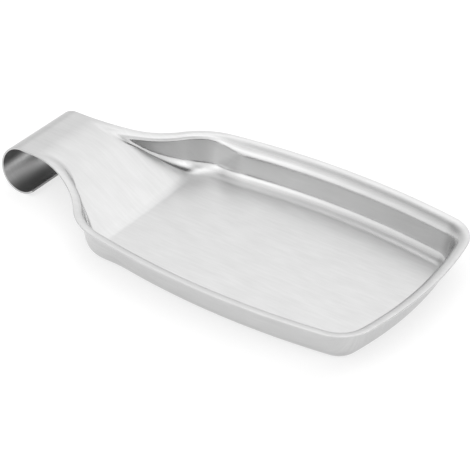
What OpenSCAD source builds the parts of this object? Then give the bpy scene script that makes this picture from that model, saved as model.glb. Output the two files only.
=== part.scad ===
// Spoon rest pressed from one sheet of stainless steel.
// The blank is drawn into a shallow tray, its rear is ramped up between two pockets through a waisted neck,
// and the end of the neck is curled under so that the curl stands on the table with the tray.
// X runs from the curl to the front of the tray, Y across it, and Z is up from the table.

/* [Tray outline] */
// Width across the rim at the widest line
tray_w = 115; // [100:1:140]
// Distance from the front edge back to the widest line
widest_from_front = 77; // [66:1:84]
// Distance from the front edge back to the centre of the shoulder curve
shoulder_from_front = 133.5; // [124:0.5:160]
// Radius of the bowed front edge
front_bow_r = 180; // [140:5:300]
// Radius of the bowed long sides
side_bow_r = 360; // [300:10:600]
// Radius of the two front corners
corner_r = 18.5; // [18:0.5:30]
// Radius of the rear shoulders
shoulder_r = 35; // [28:1:44]

/* [Neck and strap] */
// Radius of the waisted neck
neck_r = 54; // [44:1:64]
// Width of the strap that is curled
strap_w = 41; // [36:1:50]
// Straight length of the strap between the neck and the curl
strap_l = 5.5; // [3:0.5:30]

/* [Section through the rim and wall] */
// Thickness of the sheet
sheet_t = 0.9; // [0.6:0.1:1.5]
// Height of the rim above the table
rim_h = 19; // [17:0.5:21.5]
// Width of the flat band round the rim
rim_flat = 0.4; // [0.2:0.1:1]
// Radius over which the rim turns down into the wall, on the upper face
rim_r = 7; // [5:0.1:8]
// Slope of the wall, from level
wall_angle = 82; // [75:1:85]
// Radius between the wall and the floor, on the upper face
floor_r = 6; // [4:0.5:7]

/* [Rear pockets] */
// Width of the flat band round the rim beside the pockets
pocket_flat = 2; // [1:0.1:3]
// Radius over which the rim turns down into the pockets' wall, on the upper face
pocket_rim_r = 2.5; // [2:0.1:4]
// Slope of the pockets' wall, from level
pocket_angle = 85; // [78:1:87]
// Distance from the centre of the shoulder curve back to where the pockets' section is reached
pocket_from_shoulder = 19.5; // [16:0.5:26]
// Length over which the tray's section changes into the pockets'
pocket_blend_l = 24; // [16:1:40]
// Radius at the foot of the wall beside the top of the ramp, on the upper face
crease_r = 1.2; // [1:0.1:4]
// Length over which the foot of the pockets' wall tightens to that radius
crease_blend_l = 22; // [14:1:30]

/* [Ramp] */
// Distance from the strap's front end to the start of the bend into the ramp
bend_from_strap = 2.5; // [0:0.5:8]
// Radius of the bend at the top of the ramp, on the upper face
bend_r = 45; // [30:1:50]
// Slope of the ramp, from level
ramp_angle = 32; // [30:0.5:36]
// Radius at the foot of the ramp, on the upper face
foot_r = 10; // [5:1:20]
// Radius of the slow rise of the rim towards the bend
rise_r = 110; // [80:5:150]

/* [Curl] */
// Outer radius of the curl, which stands on the table
curl_r = 11.4; // [11.2:0.1:13]
// Angle that the curl turns through, from the top of the strap to the free edge
curl_turn = 221; // [180:1:250]

/* [Hidden] */
$fa = 3;
$fs = 0.5;
steel = "#c9cacb";

// Steps along each stretch of the half outline, from the front centre to the strap's end
front_steps = 5;
corner_steps = 10;
side_steps = 6;
shoulder_steps = 16;
neck_steps = 24;
strap_steps = 3;
// Steps round each radius of the section
round_steps = 6;

strap_h = 2 * curl_r;

// Sizes of a section: flat band, upper radius, lower radius and slope
tray_section = [rim_flat, rim_r, floor_r, wall_angle];
pocket_section = [pocket_flat, pocket_rim_r, floor_r, pocket_angle];
crease_section = [pocket_flat, pocket_rim_r, crease_r, pocket_angle];
// What the section's sizes gain for each unit of depth below the upper face
section_gain = [0, -1, 1, 0];

// Centres of the outline's arcs, measured back from the front edge at x = 0
front_c = [-front_bow_r, 0];
side_c = [-widest_from_front, tray_w / 2 - side_bow_r];
corner_c = meeting_point(side_c, side_bow_r - corner_r, front_c, front_bow_r - corner_r);
shoulder_x = -shoulder_from_front;
shoulder_reach = side_bow_r - shoulder_r;
shoulder_c = [shoulder_x, side_c.y + sqrt(shoulder_reach ^ 2 - (shoulder_x - side_c.x) ^ 2)];
neck_y = strap_w / 2 + neck_r;
neck_c = [shoulder_x - sqrt((shoulder_r + neck_r) ^ 2 - (neck_y - shoulder_c.y) ^ 2), neck_y];

// Where the pockets' section is reached, the bend, the curl's axis and the middle of the whole length
pocket_x = shoulder_x - pocket_from_shoulder;
bend_x = neck_c.x + bend_from_strap;
curl_x = neck_c.x - strap_l;
middle_x = (curl_x - curl_r) / 2;

// Stations of the half outline, mirrored into one chain from strap to strap, and points down each section
stations = half_outline();
half_count = len(stations);
chain_count = 2 * half_count - 1;
ring_count = len(section_insets(tray_section));
face_points = chain_count * ring_count;

// Direction of the line from one point to another
function heading(from, to) = atan2(to.y - from.y, to.x - from.x);

// The point at these distances from two centres, on the right of the line from the first to the second
function meeting_point(c1, r1, c2, r2) =
    let (
        gap = norm(c2 - c1),
        along = (r1 ^ 2 - r2 ^ 2 + gap ^ 2) / (2 * gap),
        aside = sqrt(r1 ^ 2 - along ^ 2),
        u = (c2 - c1) / gap
    )
    c1 + along * u + aside * [u.y, -u.x];

// Stations round an arc, without its first one: each a point and the direction from it to the centre
function arc(c, r, from, to, steps) = [
    for (i = [1 : steps])
        let (a = from + (to - from) * i / steps, spoke = [cos(a), sin(a)])
        [c + r * spoke, -spoke]
];

// Half outline on the side where y is positive: points and the directions inwards from them
function half_outline() =
    let (
        front_end = heading(front_c, corner_c),
        side_start = heading(side_c, corner_c),
        side_end = heading(side_c, shoulder_c),
        shoulder_end = heading(shoulder_c, neck_c)
    )
    concat(
        [[[0, 0], [-1, 0]]],
        arc(front_c, front_bow_r, 0, front_end, front_steps),
        arc(corner_c, corner_r, front_end, side_start, corner_steps),
        arc(side_c, side_bow_r, side_start, 90, side_steps),
        arc(side_c, side_bow_r, 90, side_end, side_steps),
        arc(shoulder_c, shoulder_r, side_end, shoulder_end, shoulder_steps),
        [for (s = arc(neck_c, neck_r, shoulder_end - 180, -90, neck_steps)) [s[0], -s[1]]],
        [for (i = [1 : strap_steps]) [[neck_c.x - strap_l * i / strap_steps, strap_w / 2], [0, -1]]]
    );

// The steepest slope that a press line of this depth reaches
function drop_angle(depth, r_top, r_foot, angle) =
    let (both = r_top + r_foot)
    depth < both * (1 - cos(angle)) ? acos(1 - depth / both) : angle;

// Level length of a press line: a rounded shoulder, a straight flank and a rounded foot
function drop_run(depth, r_top, r_foot, angle) =
    let (both = r_top + r_foot, a = drop_angle(depth, r_top, r_foot, angle))
    both * sin(a) + (depth - both * (1 - cos(a))) / tan(a);

// Depth of that press line at a level distance from its start
function drop(s, depth, r_top, r_foot, angle) =
    depth <= 0 || s <= 0 ? 0 :
    let (
        a = drop_angle(depth, r_top, r_foot, angle),
        run = drop_run(depth, r_top, r_foot, angle),
        flank_start = r_top * sin(a),
        flank_end = run - r_foot * sin(a)
    )
    s < flank_start ? r_top - sqrt(r_top ^ 2 - s ^ 2) :
    s < flank_end ? r_top * (1 - cos(a)) + (s - flank_start) * tan(a) :
    s < run ? depth - r_foot + sqrt(r_foot ^ 2 - (run - s) ^ 2) :
    depth;

// Height of the rim, which rises slowly to the bend: below is 0 on the upper face and sheet_t under it
function rim_height(x, below) =
    strap_h - below - drop(x - bend_x, strap_h - rim_h, rise_r - below, rise_r + below, ramp_angle);

// Height of the strap and the ramp, down to the floor
function ramp_height(x, below) =
    strap_h - below - drop(x - bend_x, strap_h - sheet_t, bend_r - below, foot_r + below, ramp_angle);

// A share that rises smoothly from 0 to 1
function eased(share) =
    let (t = min(max(share, 0), 1))
    t ^ 2 * (3 - 2 * t);

// Section where the outline passes x: the tray's, then the pockets', whose foot tightens up the ramp
function section_at(x, below) =
    let (back = pocket_x - x)
    tray_section
    + (pocket_section - tray_section) * eased(back / pocket_blend_l + 1)
    + (crease_section - pocket_section) * eased(back / crease_blend_l)
    + below * section_gain;

// Insets of a section's points, from the rim's edge to the floor
function section_insets(section) =
    let (
        flat = section[0],
        r_top = section[1],
        r_foot = section[2],
        angle = section[3],
        floor_inset = flat + drop_run(rim_h - sheet_t, r_top, r_foot, angle),
        turns = [for (i = [0 : round_steps]) angle * i / round_steps]
    )
    concat(
        [0],
        [for (t = turns) flat + r_top * sin(t)],
        [for (t = turns) floor_inset - r_foot * sin(angle - t)]
    );

// Height of a face of the sheet: the rim, then the wall down to the ramp or the floor
function face_height(x, inset, section, below) =
    let (rim = rim_height(x, below), depth = rim - ramp_height(x, below))
    rim - drop(inset - section[0], depth, section[1], section[2], section[3]);

// Points of one face down the section at each station
function face_sections(below) = [
    for (s = stations)
        let (section = section_at(s[0].x, below))
        [
            for (inset = section_insets(section))
                let (p = s[0] + inset * s[1])
                [p.x - middle_x, p.y, face_height(p.x, inset, section, below)]
        ]
];

// All points of one face, one ring of the chain after another
function face_rings(below) =
    let (sections = face_sections(below))
    [
        for (k = [0 : ring_count - 1], i = [1 - half_count : half_count - 1])
            let (p = sections[abs(i)][k])
            i < 0 ? p : [p.x, -p.y, p.z]
    ];

// Index of a point: ring k, place i along the chain, face 0 for the upper and 1 for the under one
function at(k, i, face) = face * face_points + k * chain_count + i;

// The tray, ramp and strap: two faces a sheet's thickness apart, closed along the edge and at the strap's end
module pressed_sheet() {
    last = ring_count - 1;
    middle = half_count - 1;
    end = chain_count - 1;
    upper_wall = [
        for (k = [0 : last - 1], i = [0 : end - 1])
            for (f = [[at(k, i, 0), at(k, i + 1, 0), at(k + 1, i + 1, 0)],
                      [at(k, i, 0), at(k + 1, i + 1, 0), at(k + 1, i, 0)]]) f
    ];
    upper_floor = [
        for (i = [0 : middle - 1])
            i == middle - 1
                ? [at(last, i, 0), at(last, middle, 0), at(last, end - i, 0)]
                : [at(last, i, 0), at(last, i + 1, 0), at(last, end - i - 1, 0), at(last, end - i, 0)]
    ];
    upper = concat(upper_wall, upper_floor);
    under = [for (f = upper) [for (j = [len(f) - 1 : -1 : 0]) f[j] + face_points]];
    edge = [for (i = [0 : end - 1]) [at(0, i, 0), at(0, i, 1), at(0, i + 1, 1), at(0, i + 1, 0)]];
    strap_end = concat(
        [for (k = [0 : last - 1]) [at(k, 0, 0), at(k + 1, 0, 0), at(k + 1, 0, 1), at(k, 0, 1)]],
        [[at(last, 0, 0), at(last, end, 0), at(last, end, 1), at(last, 0, 1)]],
        [for (k = [0 : last - 1]) [at(k + 1, end, 0), at(k, end, 0), at(k, end, 1), at(k + 1, end, 1)]]
    );
    polyhedron(concat(face_rings(0), face_rings(sheet_t)), concat(upper, under, edge, strap_end));
}

// The curl: the strap's section turned round an axis across the part, from the strap's end to the free edge
module curl() {
    translate([curl_x - middle_x, 0, curl_r])
        rotate([90, 0, 0])
            rotate_extrude(angle = curl_turn, start = 90)
                translate([curl_r - sheet_t, -strap_w / 2])
                    square([sheet_t, strap_w]);
}

module spoon_rest() {
    color(steel)
        union() {
            pressed_sheet();
            curl();
        }
}

spoon_rest();
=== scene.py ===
import math

import bmesh
import bpy
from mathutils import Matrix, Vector


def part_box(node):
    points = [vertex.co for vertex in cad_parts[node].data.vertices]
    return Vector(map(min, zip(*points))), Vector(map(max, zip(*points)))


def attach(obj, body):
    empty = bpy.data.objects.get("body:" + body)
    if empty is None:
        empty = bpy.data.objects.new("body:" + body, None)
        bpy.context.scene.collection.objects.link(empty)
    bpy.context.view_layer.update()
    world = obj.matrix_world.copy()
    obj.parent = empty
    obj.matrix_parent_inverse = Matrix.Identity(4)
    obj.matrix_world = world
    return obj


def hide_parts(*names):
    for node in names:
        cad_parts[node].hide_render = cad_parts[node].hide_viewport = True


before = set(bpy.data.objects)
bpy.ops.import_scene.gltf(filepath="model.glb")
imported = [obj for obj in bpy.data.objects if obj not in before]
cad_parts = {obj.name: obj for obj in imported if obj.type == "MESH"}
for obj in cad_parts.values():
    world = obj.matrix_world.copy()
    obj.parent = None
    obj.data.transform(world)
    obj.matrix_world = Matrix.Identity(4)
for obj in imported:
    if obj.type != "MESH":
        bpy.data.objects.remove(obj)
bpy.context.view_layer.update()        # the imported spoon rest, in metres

MM = 0.001
node_low, node_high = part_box("spoon_rest")

# Sizes of the pressed sheet that the frame gives
front_x = node_high.x
tray_w = node_high.y - node_low.y
strap_h = node_high.z
curl_r = strap_h / 2

# Sizes of the outline
widest_from_front = 77 * MM
shoulder_from_front = 133.5 * MM
front_bow_r = 180 * MM
side_bow_r = 360 * MM
corner_r = 18.5 * MM
shoulder_r = 35 * MM
neck_r = 54 * MM
strap_w = 41 * MM
strap_l = 5.5 * MM

# Sizes of the section through the rim and wall
sheet_t = 0.9 * MM
rim_h = 19 * MM
rim_flat = 0.4 * MM
rim_r = 7.0 * MM
wall_angle = math.radians(82)
floor_r = 6 * MM
edge_r = 0.35 * MM

# Sizes of the tighter section round the rear pockets, and where it is reached
pocket_flat = 2 * MM
pocket_rim_r = 2.5 * MM
pocket_angle = math.radians(85)
pocket_from_shoulder = 19.5 * MM
pocket_blend_l = 24 * MM
crease_r = 1.2 * MM
crease_blend_l = 22 * MM
# Radius that the section opens to towards the strap, and the length of that blend
strap_rim_r = 9 * MM
strap_blend_l = 28 * MM

# Sizes of the ramp and the curl
bend_from_strap = 2.5 * MM
bend_r = 45 * MM
ramp_angle = math.radians(32)
foot_r = 10 * MM
rise_r = 110 * MM
curl_turn = math.radians(221)
curl_flare = 2 * MM

# Mesh steps along each stretch of the half outline, and round the curl
FRONT_STEPS = 16
CORNER_STEPS = 28
SIDE_STEPS = 48
SHOULDER_STEPS = 36
NECK_STEPS = 120
STRAP_STEPS = 6
CURL_STEPS = 72
# Mesh steps over each stretch of a row across the part
FLAT_STEPS = 3
ROUND_STEPS = 14
WALL_STEPS = 8
FLOOR_STEPS = 14
# Points nearer than this are one point, and edges sharper than this angle are rounded in so many segments
MERGE_GAP = 0.001 * MM
SHARP_ANGLE = math.radians(60)
EDGE_SEGMENTS = 4

# Camera at the photograph's viewing angle
IMAGE_PX = 470
SENSOR_MM = 36
FOCAL_PX = 2111.8
CAMERA_YAW = math.radians(35.96)
CAMERA_PITCH = math.radians(34.08)
CAMERA_DISTANCE = 951.84 * MM
CAMERA_TARGET = Vector((3.34 * MM, 7.56 * MM, 0))

# Brushing and broader mottling: patches for each metre of the blank, and the shades that they run between
BRUSH_ALONG = 80
BRUSH_ACROSS = 700
STEEL_DARK = 0.59
STEEL_LIGHT = 0.65
MOTTLE_ALONG = 60
MOTTLE_ACROSS = 150
MOTTLE_DARK = 0.96
MOTTLE_LIGHT = 1.04
NOISE_DETAIL = 3
GROOVE_STRENGTH = 0.4
GROOVE_DEPTH = 0.02 * MM
# Roughness of steep walls and of level faces, and the upward part of the normal where it starts to change
WALL_ROUGHNESS = 0.2
SATIN_ROUGHNESS = 0.4
SATIN_FROM = 0.6
# Painted shade that darkens the strap, and the length over which it fades out on the ramp
STRAP_SHADE = 0.88
STRAP_FADE_L = 55 * MM
# Painted shade on the tray's faces that look down, and the upward parts of the normal where it starts and
# is full
UNDER_SHADE = 0.8
UNDER_FROM = 0.1
UNDER_FULL = -0.7
# The inside of the curl, with painted shade at its top and foot and a painted highlight between, at heights
# from the curl's axis
CURL_TOP_SHADE = 0.7
CURL_HIGHLIGHT = 1.4
CURL_FOOT_SHADE = 0.2
CURL_ROUGHNESS = 0.35
curl_top_z = 0.1 * curl_r
curl_highlight_z = -0.4 * curl_r
curl_foot_z = -0.55 * curl_r

# Studio light: the room, what it gains overhead with a power of the height, and the soft lamps and dark
# screens that stand round the tray, each with its azimuth, elevation and spread in degrees and its strength
ROOM_LIGHT = 1.16
TOP_LIGHT = 0.9
TOP_POWER = 4
LAMPS = [
    (10, 17, 19, 2.4),      # lamp beyond the front edge
    (65, 42, 14, 0.9),      # lamp that the ramp mirrors
    (135, 52, 14, 1.2),     # lamp high beyond the far side
    (255, 25, 15, 0.6),     # lamp at the near rear
    (50, 8, 19, -5.2),      # black screen at the far front corner
    (25, 48, 18, -2.1),     # screen over the front lamp
    (177, 51, 35, -1.0),    # shaded rear of the room
    (322, 46, 18, -0.5),    # shade round the camera
    (190, 58, 10, -0.5),    # screen high over the rear
]
# The floor's side, its gap below the part, its grey and the light that it gives off
FLOOR_SIZE = 8.0
FLOOR_GAP = 0.05 * MM
FLOOR_GREY = 0.4
FLOOR_GLOW = 0.64


def heading(start, end):
    """Direction of the line from one point to another."""
    return math.atan2(end.y - start.y, end.x - start.x)


def meeting_point(centre_a, r_a, centre_b, r_b):
    """The point at these distances from two centres, on the right of the line from a to b."""
    line = centre_b - centre_a
    gap = line.length
    along = (r_a ** 2 - r_b ** 2 + gap ** 2) / (2 * gap)
    aside = math.sqrt(r_a ** 2 - along ** 2)
    unit = line / gap
    return centre_a + along * unit + aside * Vector((unit.y, -unit.x))


# Centres of the outline's arcs, measured back from the front edge at x = 0
front_c = Vector((-front_bow_r, 0))
side_c = Vector((-widest_from_front, tray_w / 2 - side_bow_r))
corner_c = meeting_point(side_c, side_bow_r - corner_r, front_c, front_bow_r - corner_r)
shoulder_x = -shoulder_from_front
shoulder_rise = math.sqrt((side_bow_r - shoulder_r) ** 2 - (shoulder_x - side_c.x) ** 2)
shoulder_c = Vector((shoulder_x, side_c.y + shoulder_rise))
neck_y = strap_w / 2 + neck_r
neck_run = math.sqrt((shoulder_r + neck_r) ** 2 - (neck_y - shoulder_c.y) ** 2)
neck_c = Vector((shoulder_x - neck_run, neck_y))
pocket_x = shoulder_x - pocket_from_shoulder
curl_x = neck_c.x - strap_l
bend_x = neck_c.x + bend_from_strap


def arc(centre, radius, start, end, steps):
    """Points round an arc and their directions to its centre, without the first one."""
    angles = [start + (end - start) * i / steps for i in range(1, steps + 1)]
    spokes = [Vector((math.cos(a), math.sin(a))) for a in angles]
    return [(centre + radius * spoke, -spoke) for spoke in spokes]


def half_outline():
    """Points from the front centre to the strap's end, with positive y, and their inward directions."""
    front_end = heading(front_c, corner_c)
    side_start = heading(side_c, corner_c)
    side_end = heading(side_c, shoulder_c)
    shoulder_end = heading(shoulder_c, neck_c)
    stations = [(Vector((0, 0)), Vector((-1, 0)))]
    stations += arc(front_c, front_bow_r, 0, front_end, FRONT_STEPS)
    stations += arc(corner_c, corner_r, front_end, side_start, CORNER_STEPS)
    stations += arc(side_c, side_bow_r, side_start, side_end, SIDE_STEPS)
    stations += arc(shoulder_c, shoulder_r, side_end, shoulder_end, SHOULDER_STEPS)
    neck = arc(neck_c, neck_r, shoulder_end - math.pi, -math.pi / 2, NECK_STEPS)
    stations += [(point, -to_centre) for point, to_centre in neck]
    strap_xs = [neck_c.x - strap_l * i / STRAP_STEPS for i in range(1, STRAP_STEPS + 1)]
    stations += [(Vector((x, strap_w / 2)), Vector((0, -1))) for x in strap_xs]
    return stations


def drop_angle(depth, r_top, r_foot, angle):
    """The steepest slope that a press line of this depth reaches."""
    both = r_top + r_foot
    if depth < both * (1 - math.cos(angle)):
        return math.acos(1 - depth / both)
    return angle


def drop_run(depth, r_top, r_foot, angle):
    """Level length of a press line: a rounded shoulder, a straight flank and a rounded foot."""
    both = r_top + r_foot
    a = drop_angle(depth, r_top, r_foot, angle)
    return both * math.sin(a) + (depth - both * (1 - math.cos(a))) / math.tan(a)


def drop(s, depth, r_top, r_foot, angle):
    """Depth of that press line at a level distance from its start."""
    if depth <= 0 or s <= 0:
        return 0
    a = drop_angle(depth, r_top, r_foot, angle)
    run = drop_run(depth, r_top, r_foot, angle)
    flank_start = r_top * math.sin(a)
    if s < flank_start:
        return r_top - math.sqrt(r_top ** 2 - s ** 2)
    if s < run - r_foot * math.sin(a):
        return r_top * (1 - math.cos(a)) + (s - flank_start) * math.tan(a)
    if s < run:
        return depth - r_foot + math.sqrt(r_foot ** 2 - (run - s) ** 2)
    return depth


def rim_height(x):
    """Height of the rim's upper face, which rises slowly to the bend."""
    return strap_h - drop(x - bend_x, strap_h - rim_h, rise_r, rise_r, ramp_angle)


def ramp_height(x):
    """Height of the strap's and ramp's upper face, down to the floor."""
    return strap_h - drop(x - bend_x, strap_h - sheet_t, bend_r, foot_r, ramp_angle)


def eased(share):
    """A share that rises smoothly from 0 to 1."""
    t = min(max(share, 0), 1)
    return t * t * (3 - 2 * t)


def section_at(x):
    """Section where the outline passes x: its flat, rim radius, foot radius and slope."""
    section = (rim_flat, rim_r, floor_r, wall_angle)
    pocket = (pocket_flat, pocket_rim_r, floor_r, pocket_angle)
    crease = (pocket_flat, pocket_rim_r, crease_r, pocket_angle)
    strap = (pocket_flat, strap_rim_r, strap_rim_r, pocket_angle)
    shares = [
        (pocket, eased((pocket_x - x) / pocket_blend_l + 1)),
        (crease, eased((pocket_x - x) / crease_blend_l)),
        (strap, eased((neck_c.x - x) / strap_blend_l + 1)),
    ]
    for towards, share in shares:
        section = [a + (b - a) * share for a, b in zip(section, towards)]
    return section


def upper_height(x, inset, section):
    """Height of the sheet's upper face: the rim, then the wall down to the ramp or the floor."""
    flat, r_top, r_foot, angle = section
    rim = rim_height(x)
    return rim - drop(inset - flat, rim - ramp_height(x), r_top, r_foot, angle)


def section_insets(section):
    """Insets of a section's points, from the rim's edge to the floor."""
    flat, r_top, r_foot, angle = section
    wall_run = drop_run(rim_h - sheet_t, r_top, r_foot, angle)
    turns = [angle * i / ROUND_STEPS for i in range(ROUND_STEPS + 1)]
    band = [flat * i / FLAT_STEPS for i in range(FLAT_STEPS)]
    rim = [flat + r_top * math.sin(t) for t in turns]
    foot = [flat + wall_run - r_foot * math.sin(t) for t in reversed(turns)]
    wall = [rim[-1] + (foot[0] - rim[-1]) * i / WALL_STEPS for i in range(1, WALL_STEPS)]
    return band + rim + wall + foot


def station_row(start, inward):
    """Points and flat-blank places across the part at one station of the outline."""
    section = section_at(start.x)
    side = []
    for inset in section_insets(section):
        p = start + inset * inward
        side.append(Vector((p.x, p.y, upper_height(p.x, inset, section))))
    border = side[-1]
    blank = [border.to_2d()]
    for k in range(len(side) - 2, -1, -1):
        blank.insert(0, blank[0] - inward * (side[k] - side[k + 1]).length)
    across = [1 - 2 * c / FLOOR_STEPS for c in range(1, FLOOR_STEPS)]
    points = side + [Vector((border.x, border.y * a, border.z)) for a in across]
    points += [Vector((p.x, -p.y, p.z)) for p in reversed(side)]
    places = blank + [Vector((border.x, border.y * a)) for a in across]
    places += [Vector((p.x, -p.y)) for p in reversed(blank)]
    return points, places


def curled_row(points, places, angle):
    """The strap's end row, turned round the curl's axis by an angle and flared towards the table."""
    height = curl_r * (1 + math.cos(angle))
    flare = curl_flare * max(1 - height / (strap_h - sheet_t), 0)
    wider = 1 + 2 * flare / strap_w
    turned = [Vector((curl_x - curl_r * math.sin(angle), p.y * wider, height)) for p in points]
    return turned, [Vector((p.x - curl_r * angle, p.y * wider)) for p in places]


def sheet_rows():
    """Rows across the upper face, from the front centre to the curl's free edge."""
    rows = [station_row(start, inward) for start, inward in half_outline()]
    points, places = rows[-1]
    rows += [curled_row(points, places, curl_turn * i / CURL_STEPS) for i in range(1, CURL_STEPS + 1)]
    return rows


def make_sheet(name):
    """The upper face as one smooth mesh, thickened into the sheet, with its edges rounded."""
    mesh = bmesh.new()
    blank = mesh.loops.layers.uv.new("blank")
    place_of = {}
    previous = []
    for points, places in sheet_rows():
        row = [mesh.verts.new((front_x + p.x, p.y, p.z)) for p in points]
        place_of.update(zip(row, places))
        for i in range(len(previous) - 1):
            mesh.faces.new((previous[i], previous[i + 1], row[i + 1], row[i]))
        previous = row
    for face in mesh.faces:
        face.smooth = True
        for loop in face.loops:
            loop[blank].uv = place_of[loop.vert]
    bmesh.ops.remove_doubles(mesh, verts=mesh.verts, dist=MERGE_GAP)
    bmesh.ops.recalc_face_normals(mesh, faces=mesh.faces)
    data = bpy.data.meshes.new(name)
    mesh.to_mesh(data)
    mesh.free()
    piece = bpy.data.objects.new(name, data)
    bpy.context.scene.collection.objects.link(piece)
    thick = piece.modifiers.new("sheet", "SOLIDIFY")
    thick.thickness = sheet_t
    thick.offset = -1
    thick.use_even_offset = True
    edges = piece.modifiers.new("edges", "BEVEL")
    edges.width = edge_r
    edges.segments = EDGE_SEGMENTS
    edges.limit_method = "ANGLE"
    edges.angle_limit = SHARP_ANGLE
    return piece


def feed(tree, socket, value):
    """Give a socket a constant, or the output of another node."""
    if isinstance(value, bpy.types.NodeSocket):
        tree.links.new(value, socket)
    else:
        socket.default_value = value


def math_node(tree, operation, *values):
    """Result of a math node whose inputs are numbers or other nodes' outputs."""
    node = tree.nodes.new("ShaderNodeMath")
    node.operation = operation
    for socket, value in zip(node.inputs, values):
        feed(tree, socket, value)
    return node.outputs["Value"]


def vector_node(tree, operation, *values):
    """A vector math node whose inputs are vectors or other nodes' outputs."""
    node = tree.nodes.new("ShaderNodeVectorMath")
    node.operation = operation
    for socket, value in zip(node.inputs, values):
        feed(tree, socket, value)
    return node


def part_of(tree, vector, axis):
    """One coordinate of a vector."""
    node = tree.nodes.new("ShaderNodeSeparateXYZ")
    tree.links.new(vector, node.inputs["Vector"])
    return node.outputs[axis]


def ranged(tree, value, low, high, at_low, at_high):
    """An output that goes smoothly from one number to another as a value crosses a range."""
    node = tree.nodes.new("ShaderNodeMapRange")
    node.interpolation_type = "SMOOTHSTEP"
    numbers = {"From Min": low, "From Max": high, "To Min": at_low, "To Max": at_high}
    for name, number in numbers.items():
        node.inputs[name].default_value = number
    tree.links.new(value, node.inputs["Value"])
    return node.outputs["Result"]


def streaks(tree, place, along, across):
    """Noise drawn out along the blank, with these numbers of patches for each metre."""
    stretch = tree.nodes.new("ShaderNodeMapping")
    stretch.inputs["Scale"].default_value = (along, across, 1)
    tree.links.new(place, stretch.inputs["Vector"])
    noise = tree.nodes.new("ShaderNodeTexNoise")
    noise.inputs["Scale"].default_value = 1
    noise.inputs["Detail"].default_value = NOISE_DETAIL
    tree.links.new(stretch.outputs["Vector"], noise.inputs["Vector"])
    return noise.outputs["Fac"]


def steel_shade(tree, place, brushing):
    """Shade of the bare steel: the brushing, with broader mottling over it."""
    mottling = streaks(tree, place, MOTTLE_ALONG, MOTTLE_ACROSS)
    brushed = ranged(tree, brushing, 0, 1, STEEL_DARK, STEEL_LIGHT)
    mottled = ranged(tree, mottling, 0, 1, MOTTLE_DARK, MOTTLE_LIGHT)
    return math_node(tree, "MULTIPLY", brushed, mottled)


def inside_curl(tree, along, from_axis, normal):
    """1 on the inside of the curl and 0 elsewhere, with soft borders."""
    facing = vector_node(tree, "DOT_PRODUCT", from_axis, normal).outputs["Value"]
    inside = ranged(tree, facing, -curl_r, 0, 1, 0)
    on_curl = ranged(tree, along, curl_x - curl_r, curl_x, 1, 0)
    return math_node(tree, "MULTIPLY", inside, on_curl)


def curl_shade_and_highlight(tree, in_curl, rise):
    """Painted shade and painted highlight on the inside of the curl by height, and 1 elsewhere."""
    # Painted highlight low in the curl, fading to painted shade at its top; painted shade at its foot
    upper = ranged(tree, rise, curl_highlight_z, curl_top_z, CURL_HIGHLIGHT, CURL_TOP_SHADE)
    foot = ranged(tree, rise, -curl_r, curl_foot_z, CURL_FOOT_SHADE, 1)
    gain = math_node(tree, "MULTIPLY_ADD", upper, foot, -1)
    return math_node(tree, "MULTIPLY_ADD", gain, in_curl, 1)


def under_shade(tree, along, upward):
    """Painted shade on the tray's faces that look down, and 1 elsewhere."""
    downward = ranged(tree, upward, UNDER_FULL, UNDER_FROM, UNDER_SHADE, 1)
    off_tray = ranged(tree, along, neck_c.x, neck_c.x + STRAP_FADE_L, 1, 0)
    return math_node(tree, "MAXIMUM", downward, off_tray)


def steel_material():
    """Stainless steel, brushed along the blank, satin where it lies level and smoother on steep walls."""
    material = bpy.data.materials.new("satin_steel")
    material.use_nodes = True
    tree = material.node_tree
    shader = tree.nodes["Principled BSDF"]
    shader.inputs["Metallic"].default_value = 1

    blank = tree.nodes.new("ShaderNodeUVMap")
    blank.uv_map = "blank"
    place = blank.outputs["UV"]
    geometry = tree.nodes.new("ShaderNodeNewGeometry")
    normal = geometry.outputs["Normal"]
    curl_axis = (front_x + curl_x, 0, curl_r)
    from_axis = vector_node(tree, "SUBTRACT", geometry.outputs["Position"], curl_axis).outputs["Vector"]
    along = part_of(tree, place, "X")
    upward = part_of(tree, normal, "Z")
    rise = part_of(tree, from_axis, "Z")
    in_curl = inside_curl(tree, along, from_axis, normal)

    brushing = streaks(tree, place, BRUSH_ALONG, BRUSH_ACROSS)
    shade = steel_shade(tree, place, brushing)
    # Painted shade: the strap is darker, fading out along the ramp towards the tray
    strap_shade = ranged(tree, along, neck_c.x, neck_c.x + STRAP_FADE_L, STRAP_SHADE, 1)
    # Painted shade on the strap, inside the curl and on faces looking down, with a painted highlight in the
    # curl, multiplied into the steel's colour
    for tint in (strap_shade, curl_shade_and_highlight(tree, in_curl, rise), under_shade(tree, along, upward)):
        shade = math_node(tree, "MULTIPLY", shade, tint)
    tree.links.new(shade, shader.inputs["Base Color"])

    level = math_node(tree, "ABSOLUTE", upward)
    satin = ranged(tree, level, SATIN_FROM, 1, WALL_ROUGHNESS, SATIN_ROUGHNESS)
    curl_satin = math_node(tree, "MULTIPLY", in_curl, CURL_ROUGHNESS)
    roughness = math_node(tree, "MAXIMUM", satin, curl_satin)
    tree.links.new(roughness, shader.inputs["Roughness"])

    grooves = tree.nodes.new("ShaderNodeBump")
    grooves.inputs["Strength"].default_value = GROOVE_STRENGTH
    grooves.inputs["Distance"].default_value = GROOVE_DEPTH
    tree.links.new(brushing, grooves.inputs["Height"])
    tree.links.new(grooves.outputs["Normal"], shader.inputs["Normal"])
    return material


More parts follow.
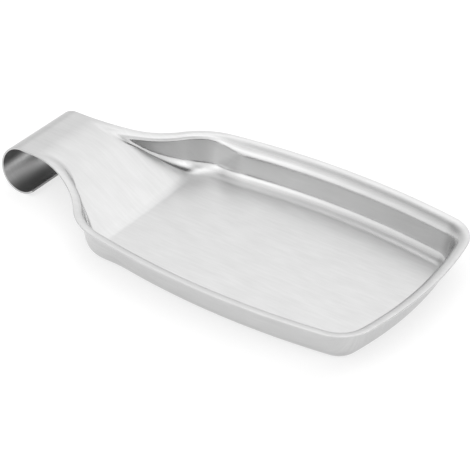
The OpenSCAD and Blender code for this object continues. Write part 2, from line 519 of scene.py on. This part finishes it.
def make_floor():
    """A plain white floor, lit mostly from within so that its shadows stay faint."""
    data = bpy.data.meshes.new("floor")
    half = FLOOR_SIZE / 2
    corners = [(x, y, -FLOOR_GAP) for x, y in ((-half, -half), (half, -half), (half, half), (-half, half))]
    data.from_pydata(corners, [], [(0, 1, 2, 3)])
    floor = bpy.data.objects.new("floor", data)
    bpy.context.scene.collection.objects.link(floor)
    material = bpy.data.materials.new("floor")
    material.use_nodes = True
    shader = material.node_tree.nodes["Principled BSDF"]
    shader.inputs["Base Color"].default_value = (FLOOR_GREY, FLOOR_GREY, FLOOR_GREY, 1)
    shader.inputs["Roughness"].default_value = 1
    shader.inputs["Specular IOR Level"].default_value = 0
    shader.inputs["Emission Color"].default_value = (1, 1, 1, 1)
    shader.inputs["Emission Strength"].default_value = FLOOR_GLOW
    data.materials.append(material)


def make_world():
    """Soft studio light: an even room, brighter overhead, with lamps and dark screens round the tray."""
    world = bpy.data.worlds.new("studio")
    world.use_nodes = True
    tree = world.node_tree
    sight = tree.nodes.new("ShaderNodeTexCoord").outputs["Generated"]
    above = math_node(tree, "MAXIMUM", part_of(tree, sight, "Z"), 0)
    overhead = math_node(tree, "POWER", above, TOP_POWER)
    light = math_node(tree, "MULTIPLY_ADD", overhead, TOP_LIGHT, ROOM_LIGHT)
    for azimuth, elevation, spread, strength in LAMPS:
        level = math.cos(math.radians(elevation))
        towards = (
            level * math.cos(math.radians(azimuth)),
            level * math.sin(math.radians(azimuth)),
            math.sin(math.radians(elevation)),
        )
        nearness = vector_node(tree, "DOT_PRODUCT", sight, towards).outputs["Value"]
        fall = 2 / math.radians(spread) ** 2
        fading = math_node(tree, "MULTIPLY_ADD", nearness, fall, -fall)
        lobe = math_node(tree, "EXPONENT", fading)
        light = math_node(tree, "MULTIPLY_ADD", lobe, strength, light)
    light = math_node(tree, "MAXIMUM", light, 0)
    background = tree.nodes["Background"]
    background.inputs["Color"].default_value = (1, 1, 1, 1)
    tree.links.new(light, background.inputs["Strength"])
    bpy.context.scene.world = world


def make_camera():
    """The camera, aimed as in the photograph."""
    data = bpy.data.cameras.new("camera")
    data.sensor_width = SENSOR_MM
    data.lens = SENSOR_MM * FOCAL_PX / IMAGE_PX
    camera = bpy.data.objects.new("camera", data)
    level = math.cos(CAMERA_PITCH)
    back = Vector((math.sin(CAMERA_YAW) * level, -math.cos(CAMERA_YAW) * level, math.sin(CAMERA_PITCH)))
    camera.location = CAMERA_TARGET + CAMERA_DISTANCE * back
    camera.rotation_euler = back.to_track_quat("Z", "Y").to_euler()
    bpy.context.scene.collection.objects.link(camera)
    bpy.context.scene.camera = camera


spoon_rest = make_sheet("spoon_rest_sheet")
spoon_rest.data.materials.append(steel_material())
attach(spoon_rest, "root")
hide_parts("spoon_rest")
make_floor()
make_world()
make_camera()
bpy.context.scene.view_settings.view_transform = "Standard"
